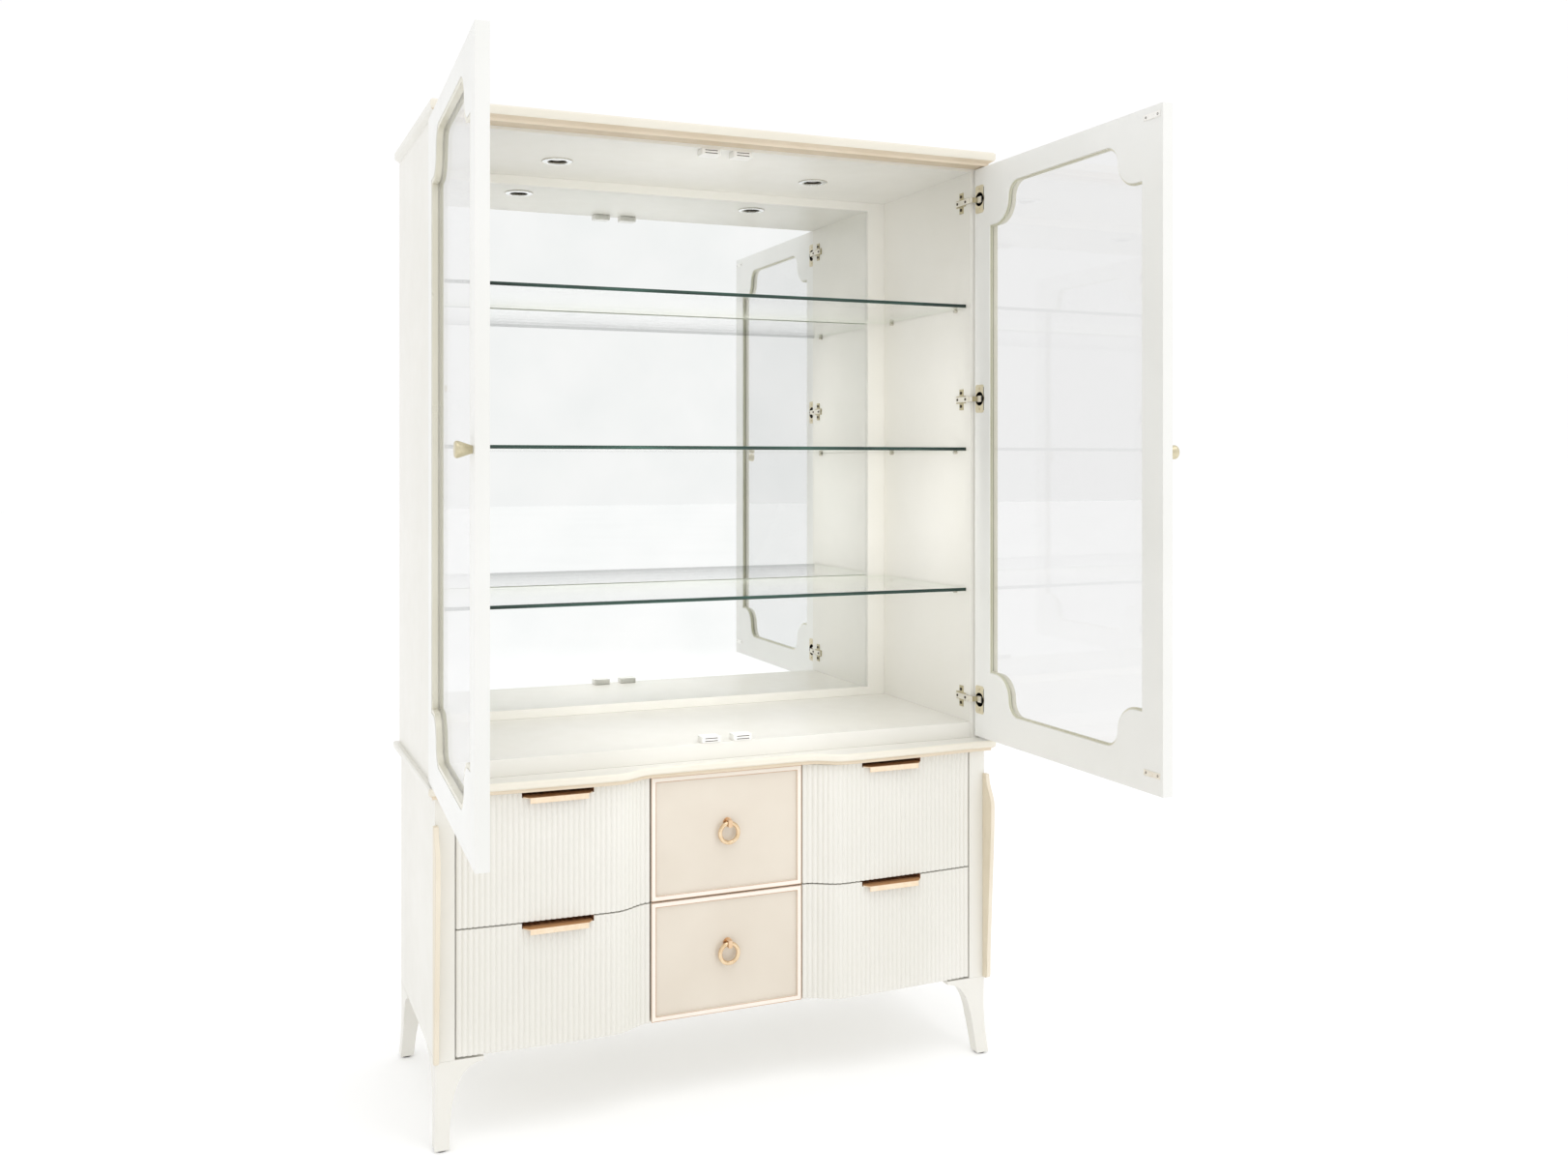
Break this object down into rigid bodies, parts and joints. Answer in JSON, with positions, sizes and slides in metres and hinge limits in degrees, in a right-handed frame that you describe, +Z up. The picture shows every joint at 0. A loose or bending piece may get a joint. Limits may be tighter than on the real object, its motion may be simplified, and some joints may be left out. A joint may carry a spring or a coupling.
{
  "type": "curio cabinet",
  "caption": "Curio cabinet with a glazed two-door hutch, mirrored back and glass shelves over a bow-front chest of drawers on sabre legs.",
  "frame": {"origin": "on the floor under the middle of the overall size, with both doors standing open; the hutch and chest are centred left to right on X = 0", "axes": "+Z up, -Y towards the front of the cabinet where the doors and drawers open, +X to the right of someone facing it"},
  "size_m": [1.4229, 1.1176, 2.134],
  "materials": {
    "lacquer": "creamy pearl white lacquer, satin",
    "back_board": "white lacquered board",
    "champagne": "champagne lacquer, satin",
    "field": "champagne beige lacquer, satin",
    "rose_gold": "rose gold plate, satin",
    "gold_bead": "champagne gold glazing bead",
    "nickel": "nickel plate",
    "steel": "zinc plated steel",
    "glass": "clear float glass",
    "mirror": "silvered mirror",
    "lens": "frosted lens",
    "white_plastic": "moulded white",
    "drawer_wood": "clear sealed birch",
    "glide": "moulded grey"
  },
  "bodies": {
    "cabinet": {"cornice_moulding": "lacquer", "hutch_top_panel": "lacquer", "hutch_left_side": "lacquer", "hutch_right_side": "lacquer", "hutch_bottom_panel": "lacquer", "hutch_back_panel": "back_board", "mirror_frame": "lacquer", "back_mirror": "mirror", "glass_shelf_upper": "glass", "glass_shelf_middle": "glass", "glass_shelf_lower": "glass", "shelf_pins": "nickel", "puck_light_housings": "nickel", "puck_light_lenses": "lens", "magnetic_catches": "white_plastic", "hinge_arms": "nickel", "waist_moulding": "lacquer", "base_left_side": "lacquer", "base_right_side": "lacquer", "base_bottom_panel": "lacquer", "base_back_panel": "back_board", "base_partitions": "lacquer", "base_face_stiles": "lacquer", "corner_pilasters": "champagne", "front_legs": "lacquer", "rear_legs": "lacquer", "leg_glides": "glide", "case_runners": "steel"},
    "left_door": {"left_door_frame": "lacquer", "left_glazing_bead": "gold_bead", "left_door_glass": "glass", "left_door_knob": "rose_gold", "left_hinge_cups": "nickel", "left_strike_plates": "nickel"},
    "right_door": {"right_door_frame": "lacquer", "right_glazing_bead": "gold_bead", "right_door_glass": "glass", "right_door_knob": "rose_gold", "right_hinge_cups": "nickel", "right_strike_plates": "nickel"},
    "lower_left_drawer": {"drawer_front_lower_left": "lacquer", "drawer_box_lower_left": "drawer_wood", "edge_pull_lower_left": "rose_gold"},
    "lower_centre_drawer": {"drawer_front_lower_centre": "field", "drawer_box_lower_centre": "drawer_wood", "ring_post_lower": "rose_gold"},
    "lower_right_drawer": {"drawer_front_lower_right": "lacquer", "drawer_box_lower_right": "drawer_wood", "edge_pull_lower_right": "rose_gold"},
    "lower_ring": {"pull_ring_lower": "rose_gold"},
    "upper_left_drawer": {"drawer_front_upper_left": "lacquer", "drawer_box_upper_left": "drawer_wood", "edge_pull_upper_left": "rose_gold"},
    "upper_centre_drawer": {"drawer_front_upper_centre": "field", "drawer_box_upper_centre": "drawer_wood", "ring_post_upper": "rose_gold"},
    "upper_right_drawer": {"drawer_front_upper_right": "lacquer", "drawer_box_upper_right": "drawer_wood", "edge_pull_upper_right": "rose_gold"},
    "upper_ring": {"pull_ring_upper": "rose_gold"}
  },
  "joints": [
    {"name": "left_door_hinge", "type": "hinge", "parent": "cabinet", "child": "left_door", "pos_m": [-0.6455, 0.0865, 1.424], "axis": [0, 0, 1], "range_deg": [-7, 93]},
    {"name": "right_door_hinge", "type": "hinge", "parent": "cabinet", "child": "right_door", "pos_m": [0.6455, 0.0865, 1.424], "axis": [0, 0, 1], "range_deg": [-91, 9]},
    {"name": "lower_left_drawer_slide", "type": "slide", "parent": "cabinet", "child": "lower_left_drawer", "axis": [0, -1, 0], "range_m": [0, 0.31]},
    {"name": "lower_centre_drawer_slide", "type": "slide", "parent": "cabinet", "child": "lower_centre_drawer", "axis": [0, -1, 0], "range_m": [0, 0.31]},
    {"name": "lower_right_drawer_slide", "type": "slide", "parent": "cabinet", "child": "lower_right_drawer", "axis": [0, -1, 0], "range_m": [0, 0.31]},
    {"name": "lower_ring_swing", "type": "hinge", "parent": "lower_centre_drawer", "child": "lower_ring", "pos_m": [0, 0.087, 0.3345], "axis": [-1, 0, 0], "range_deg": [0, 80]},
    {"name": "upper_left_drawer_slide", "type": "slide", "parent": "cabinet", "child": "upper_left_drawer", "axis": [0, -1, 0], "range_m": [0, 0.31]},
    {"name": "upper_centre_drawer_slide", "type": "slide", "parent": "cabinet", "child": "upper_centre_drawer", "axis": [0, -1, 0], "range_m": [0, 0.31]},
    {"name": "upper_right_drawer_slide", "type": "slide", "parent": "cabinet", "child": "upper_right_drawer", "axis": [0, -1, 0], "range_m": [0, 0.31]},
    {"name": "upper_ring_swing", "type": "hinge", "parent": "upper_centre_drawer", "child": "upper_ring", "pos_m": [0, 0.087, 0.6015], "axis": [-1, 0, 0], "range_deg": [0, 80]}
  ]
}
